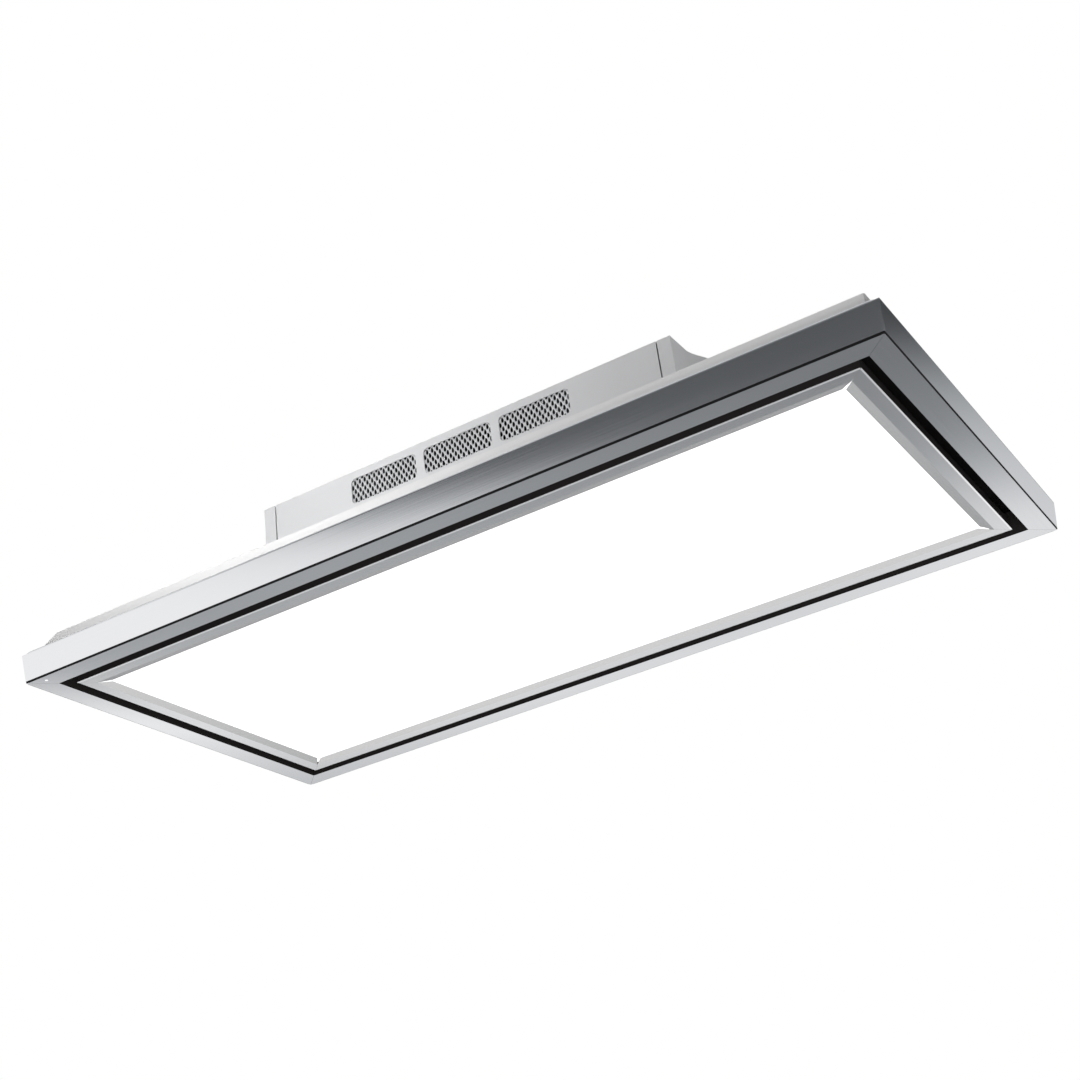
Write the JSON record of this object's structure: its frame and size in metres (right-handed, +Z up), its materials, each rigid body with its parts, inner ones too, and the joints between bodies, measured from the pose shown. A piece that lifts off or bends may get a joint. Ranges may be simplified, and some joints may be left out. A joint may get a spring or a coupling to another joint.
{
  "type": "ceiling range hood",
  "caption": "Flat ceiling hood: stainless trim with a suction slot round a hinged light panel, grease filters above it and a recirculating blower box on top.",
  "frame": {"origin": "centre of the four hanger holes, on top of the hanger ears", "axes": "+X along the hood's length, -Y to the front with the outlet windows, +Z up"},
  "size_m": [1.006, 0.496, 0.1698],
  "materials": {
    "stainless": "fine brushed, satin",
    "casing_paint": "light grey powder coat, satin",
    "black_paint": "black coat, satin",
    "black_rubber": "matt",
    "expanded_metal": "satin",
    "filter_metal": "satin",
    "zinc_steel": "zinc plated",
    "magnet": "nickel plated",
    "black_plastic": "moulded, fine grain",
    "motor_can": "grey coat",
    "grey_plastic": "moulded",
    "driver_case": "satin",
    "white_plastic": "smooth",
    "opal_light": "opal, lit from the edge",
    "clear_acrylic": "clear, polished edge",
    "strip_aluminium": "extruded",
    "receiver_lens": "smooth"
  },
  "bodies": {
    "housing": {"fascia_front": "stainless", "fascia_rear": "stainless", "fascia_left": "stainless", "fascia_right": "stainless", "face_front": "stainless", "face_rear": "stainless", "face_left": "stainless", "face_right": "stainless", "shadow_gasket": "black_rubber", "casing_front": "casing_paint", "casing_rear": "casing_paint", "casing_left": "casing_paint", "casing_right": "casing_paint", "air_guides_long": "black_paint", "air_guides_short": "black_paint", "top_deck": "casing_paint", "filter_rails": "zinc_steel", "filter_magnets": "magnet", "box_front": "casing_paint", "box_rear": "casing_paint", "box_left_end": "casing_paint", "box_right_end": "casing_paint", "box_lid": "casing_paint", "vent_mesh_left": "expanded_metal", "vent_mesh_middle": "expanded_metal", "vent_mesh_right": "expanded_metal", "scroll_lower": "black_plastic", "scroll_cover": "black_plastic", "outlet_hood": "black_plastic", "fan_mounts": "black_rubber", "motor": "motor_can", "electronics_box": "grey_plastic", "led_driver": "driver_case", "terminal_block": "white_plastic", "cable_gland": "black_plastic", "hanger_brackets": "zinc_steel", "lid_screws": "zinc_steel", "deck_screws": "zinc_steel", "ir_receiver": "receiver_lens", "hinge_brackets": "zinc_steel", "catch_brackets": "zinc_steel", "catch_magnets": "magnet"},
    "light_panel": {"bezel_front": "stainless", "bezel_rear": "stainless", "bezel_left": "stainless", "bezel_right": "stainless", "diffuser": "opal_light", "light_guide": "clear_acrylic", "reflector": "white_plastic", "led_strips": "strip_aluminium", "panel_tray": "black_paint", "hinge_leaves": "zinc_steel", "hinge_pins": "zinc_steel", "catch_strikers": "zinc_steel"},
    "impeller": {"impeller": "black_plastic", "motor_shaft": "zinc_steel"},
    "filter_left": {"filter_left_frame": "filter_metal", "filter_left_core": "filter_metal"},
    "filter_right": {"filter_right_frame": "filter_metal", "filter_right_core": "filter_metal"}
  },
  "joints": [
    {"name": "panel_hinge", "type": "hinge", "parent": "housing", "child": "light_panel", "pos_m": [0, 0.1992, -0.076], "axis": [1, 0, 0], "range_deg": [0, 85]},
    {"name": "impeller_spin", "type": "hinge", "parent": "housing", "child": "impeller", "pos_m": [0.08385, 0.01688, 0.036], "axis": [0, 0, 1], "continuous": true},
    {"name": "filter_left_tilt", "type": "hinge", "parent": "housing", "child": "filter_left", "pos_m": [-0.115, 0.098, -0.0423], "axis": [1, 0, 0], "range_deg": [0, 6]},
    {"name": "filter_right_tilt", "type": "hinge", "parent": "housing", "child": "filter_right", "pos_m": [0.115, 0.098, -0.0423], "axis": [1, 0, 0], "range_deg": [0, 6]}
  ]
}
